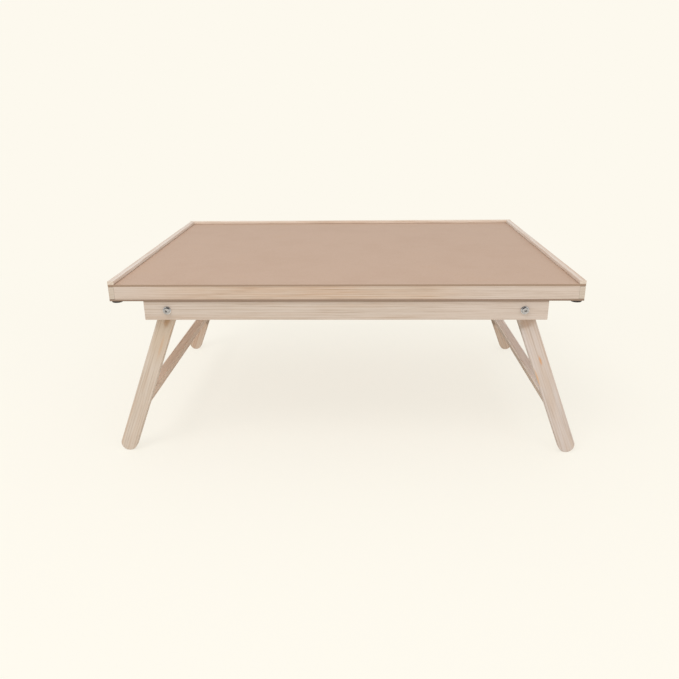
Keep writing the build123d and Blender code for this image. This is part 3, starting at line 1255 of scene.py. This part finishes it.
    def build(self) -> None:
        """Build the box from the top down."""
        self.sheets()
        self.rims()
        self.frame_boards()
        self.aprons()


# The front legs are of quieter wood than the rear ones.
FRONT_LEG = {"warm": "#CDB298", "late": "#B0957B", "line_strength": 0.32, "warmth": 0.45}
REAR_LEG = {"pale": "#DCCBBB", "warm": "#CDAB90", "late": "#AB8D70", "warmth": 0.75}
LEG_WOODS = {
    (Side.LEFT, Row.FRONT): {"pale": "#D6C9BC", **FRONT_LEG},
    (Side.RIGHT, Row.FRONT): {"pale": "#D5CAC4", **FRONT_LEG},
    (Side.LEFT, Row.REAR): REAR_LEG,
    (Side.RIGHT, Row.REAR): REAR_LEG,
}
# The marks in the legs: a brown knot under the left apron end, resin streaks on the right, and
# painted shade: the apron's painted shadow on the front legs' tops, painted shade on the right
# front leg's inner edge, and painted shadow under the stretchers' ends on the rear legs.
LEG_MARKS = {
    (Side.LEFT, Row.FRONT): (
        # Painted shadow of the apron across the leg's top.
        Knot((-0.3040, -0.2611, 0.2200), 24.0, 70.0, "#C2AB90", 0.45),
        Knot((-0.2957, -0.2611, 0.2440), 7.0, 16.0, "#A9835E", 0.75),
        Knot((-0.2917, -0.2611, 0.2197), 3.0, 20.0, "#C0926A", 0.5),
        Knot((-0.3109, -0.2611, 0.1981), 3.0, 30.0, "#CBA27C", 0.4),
    ),
    (Side.RIGHT, Row.FRONT): (
        Knot((0.3273, -0.2611, 0.1737), 2.2, 12.0, "#D09A6C", 0.85),
        Knot((0.3253, -0.2611, 0.1420), 1.8, 22.0, "#D3A678", 0.8),
        # Painted shadow of the apron across the leg's top, then painted shade on its inner edge.
        Knot((0.2992, -0.2611, 0.2405), 17.0, 12.0, "#AE937E", 0.7),
        Knot((0.2887, -0.2541, 0.2330), 9.0, 22.0, "#8F7F6A", 0.85),
    ),
    # Painted shadow under each stretcher's end, on the rear legs' inner edges.
    (Side.LEFT, Row.REAR): (Knot((-0.3530, 0.2471, 0.0707), 5.0, 10.0, "#8D7C6C", 0.75),),
    (Side.RIGHT, Row.REAR): (Knot((0.3530, 0.2471, 0.0707), 7.0, 14.0, "#8D7C6C", 0.75),),
}
# The stretchers' woods, with a painted highlight on their upper edges, far paler on the right one.
BAR_WOODS = {
    Side.LEFT: {"pale": "#DAC6B6", "warm": "#CAA88F"},
    Side.RIGHT: {"pale": "#D2C2B4", "warm": "#BCA28C", "late": "#957A62"},
}
STRETCHER_TOP_HIGHLIGHT = {Side.LEFT: "#E0CBB8", Side.RIGHT: "#FBF2EC"}


@dataclass
class LegFrame:
    """One folding leg frame: two legs and the stretcher between them."""

    side: Side
    leg_width: float = 28.0 * MM
    leg_round: float = 1.4 * MM
    top_radius: float = 16.3 * MM
    top_cuts: int = 12
    pivot_hole: float = 3.05 * MM
    bar_width: float = 28.0 * MM
    bar_thickness: float = 15.0 * MM
    bar_round: float = 1.4 * MM
    tenon_thickness: float = 7.0 * MM
    tenon_length: float = 9.0 * MM

    def __post_init__(self) -> None:
        """Read the pivot, the foot's centre and the leg's line from the frame."""
        low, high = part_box(f"{self.side.word}_front_leg")
        half = self.leg_width / 2
        toe = high.x if self.side is Side.RIGHT else low.x
        self.pivot = hinge_place(self.side)
        self.foot = Vector((toe - self.side.value * half, 0, half))
        self.line = (self.foot - self.pivot).normalized()
        self.outward = Vector((-self.line.z * self.side.value, 0, self.line.x * self.side.value))

    def leg(self, low: Vector, high: Vector) -> Object:
        """Model one leg: half-round foot, straight sides, and the arc that swings under the box.

        Args:
            low: The lowest corner of the leg's own box.
            high: Its highest corner.

        Returns:
            The leg.
        """
        depth = Y_AXIS * (low.y + high.y) / 2
        sizes = {"vertices": 64, "radius": self.leg_width / 2, "depth": high.y - low.y}
        sizes |= {"location": self.foot + depth, "rotation": (pi / 2, 0, 0)}
        leg = primitive(bpy.ops.mesh.primitive_cylinder_add, **sizes)
        with editing(leg):
            cut_off(self.foot, -self.line)
            pick("FACE", lambda face: face.normal.dot(self.line) < -0.99)
            draw_out(-self.line * ((self.foot - self.pivot).length + self.top_radius * 1.6))
            # The stop flat is level; from there the end is turned round the pivot to the inner edge.
            inner_turn = Z_AXIS.angle(-self.outward)
            for step in range(self.top_cuts + 1):
                turn = inner_turn * step / self.top_cuts
                away = Vector((-self.side.value * sin(turn), 0, cos(turn)))
                cut_off(self.pivot + away * self.top_radius, away)
            weld(NEAR)
            bpy.ops.mesh.dissolve_limited(angle_limit=radians(1))
            bpy.ops.mesh.normals_make_consistent(inside=False)
            faces_at = (low.y, high.y)
            round_edges(
                lambda edge: abs(way(edge).y) < 0.01
                and min(abs(middle(edge).y - y) for y in faces_at) < NEAR,
                self.leg_round,
                5,
            )
        bore(leg, self.pivot + depth, Y_AXIS, self.pivot_hole)
        soften(leg)
        return leg

    def stretcher(self) -> Object:
        """Model the stretcher: long edges rounded, and a tenon drawn out of each end.

        Returns:
            The stretcher.
        """
        low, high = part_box(f"{self.side.word}_stretcher")
        shoulder = -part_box(f"{self.side.word}_front_leg")[1].y
        centre = Vector(((low.x + high.x) / 2, 0, (low.z + high.z) / 2))
        lean = Z_AXIS.rotation_difference(-self.line).to_euler()
        size = (self.bar_thickness, 2 * shoulder, self.bar_width)
        cube = bpy.ops.mesh.primitive_cube_add
        bar = primitive(cube, size=1, location=centre, rotation=lean, scale=size)
        with editing(bar):
            for end in (-1, 1):
                pick("FACE", lambda face: face.normal.y * end > 0.99)
                bpy.ops.mesh.inset(thickness=(self.bar_thickness - self.tenon_thickness) / 2)
                draw_out((0, self.tenon_length * end, 0))
            radius = self.bar_round
            round_edges(lambda edge: abs(way(edge).y) > 0.99 and abs(middle(edge).y) < 0.1, radius, 5)
        soften(bar)
        return bar

    def build(self) -> None:
        """Model and dress the two legs and the stretcher."""
        body = f"{self.side.word}_leg_frame"
        for row in Row:
            node = f"{self.side.word}_{row.word}_leg"
            low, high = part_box(node)
            heart = self.pivot + Vector((0, (low.y + high.y) / 2 + 0.02 * row.value, 0))
            heart += self.outward * (0.085 if row is Row.FRONT else -0.07)
            look = {"knots": LEG_MARKS[self.side, row], **LEG_WOODS[self.side, row]}
            finish = PlanedPine(f"planed_pine_{node}", tuple(self.line), tuple(heart), **look).make()
            settle(self.leg(low, high), f"{node}_board", body, "pine", [finish], node)
        node = f"{self.side.word}_stretcher"
        low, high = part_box(node)
        centre = (low + high) / 2
        heart = centre + self.outward * 0.09 - self.line * 0.03
        level = centre.dot(-self.line)
        # A painted highlight along the stretcher's upper edge, where light falls from above.
        top_highlight = Tone(tuple(-self.line), level + 4 * MM, level + 12 * MM, STRETCHER_TOP_HIGHLIGHT[self.side], 0.96)
        look = {"tones": (top_highlight,), **BAR_WOODS[self.side]}
        finish = PlanedPine(f"planed_pine_{node}", (0, 1, 0), tuple(heart), **look).make()
        settle(self.stretcher(), f"{node}_board", body, "pine", [finish], node)


# ---- Studio ----


@dataclass(frozen=True)
class Softbox:
    """A round soft lamp, its size in metres and its power in watts."""

    name: str
    place: Place
    size: float
    power: float
    aim: Place = (0, 0, 0.2)

    def build(self) -> None:
        """Set the lamp in the scene, facing the table."""
        data = bpy.data.lights.new(self.name, "AREA")
        data.shape = "DISK"
        data.size = self.size
        data.energy = self.power
        lamp = bpy.data.objects.new(self.name, data)
        bpy.context.scene.collection.objects.link(lamp)
        lamp.location = self.place
        toward = Vector(self.aim) - lamp.location
        lamp.rotation_euler = toward.to_track_quat("-Z", "Y").to_euler()


@dataclass
class Studio:
    """The pale floor, the soft light and the camera."""

    camera_place: Place = (0.0233, -1.2853, 0.5862)
    pitch_down: float = radians(20.08)
    yaw_right: float = radians(-1.81)
    roll: float = radians(-0.59)
    lens_mm: float = 34.65
    sensor_mm: float = 36.0
    near_clip: float = 0.05
    far_clip: float = 50.0
    sky_strength: float = 0.82
    background: str = "#FDF9EE"
    floor_radius: float = 14.0
    key: Softbox = Softbox("key_softbox", (-1.1, -1.7, 2.9), 1.6, 26.0)
    fill: Softbox = Softbox("fill_softbox", (1.9, -2.4, 1.2), 2.2, 12.0)

    def camera(self) -> None:
        """Set the camera in front of the table and a little above it, looking down."""
        data = bpy.data.cameras.new("studio_camera")
        data.lens = self.lens_mm
        data.sensor_width = self.sensor_mm
        data.clip_start = self.near_clip
        data.clip_end = self.far_clip
        camera = bpy.data.objects.new("studio_camera", data)
        bpy.context.scene.collection.objects.link(camera)
        # Rolled as it looks down, then raised to the horizon less its pitch, then turned aside.
        turns = ((-self.yaw_right, "Z"), (pi / 2 - self.pitch_down, "X"), (self.roll, "Z"))
        camera.matrix_world = Matrix.Translation(self.camera_place)
        for angle, axis in turns:
            camera.matrix_world @= Matrix.Rotation(angle, 4, axis)
        bpy.context.scene.camera = camera

    def lights(self) -> None:
        """Light the table with an even white sky and two soft lamps in front."""
        world = bpy.data.worlds.new("studio_sky")
        world.use_nodes = True
        world.node_tree.nodes.clear()
        add = partial(add_node, world.node_tree)
        soft = add("Background", "#FFFFFF", self.sky_strength)
        seen = add("Background", self.background, 1.0)
        rays = (add("LightPath", out=f"Is {kind} Ray") for kind in ("Camera", "Transmission"))
        direct = add("Math", *rays, operation="MAXIMUM")
        add("OutputWorld", add("MixShader", direct, soft, seen))
        bpy.context.scene.world = world
        self.key.build()
        self.fill.build()

    def floor(self) -> None:
        """Lay a wide paper floor that runs out to the background."""
        circle = bpy.ops.mesh.primitive_circle_add
        floor = primitive(circle, vertices=96, radius=self.floor_radius, fill_type="NGON")
        floor.name = "studio_floor"
        dress(floor, StudioPaper(paper=self.background).make())

    def build(self) -> None:
        """Set up the floor, the light and the camera."""
        bpy.context.scene.view_settings.view_transform = "Standard"
        self.floor()
        self.lights()
        self.camera()


def main() -> None:
    """Build the studio and every sub-assembly in order."""
    logging.basicConfig(level=logging.INFO, format="%(message)s")
    Studio().build()
    Box().build()
    PanelScrews().build()
    PivotHardware().build()
    CornerPads().build()
    knob_pattern = Knob().pattern()
    for side, row in CORNERS:
        Drawer(side, row, knob_pattern).build()
    discard(knob_pattern)
    for side in Side:
        LegFrame(side).build()


if __name__ == "__main__":
    main()
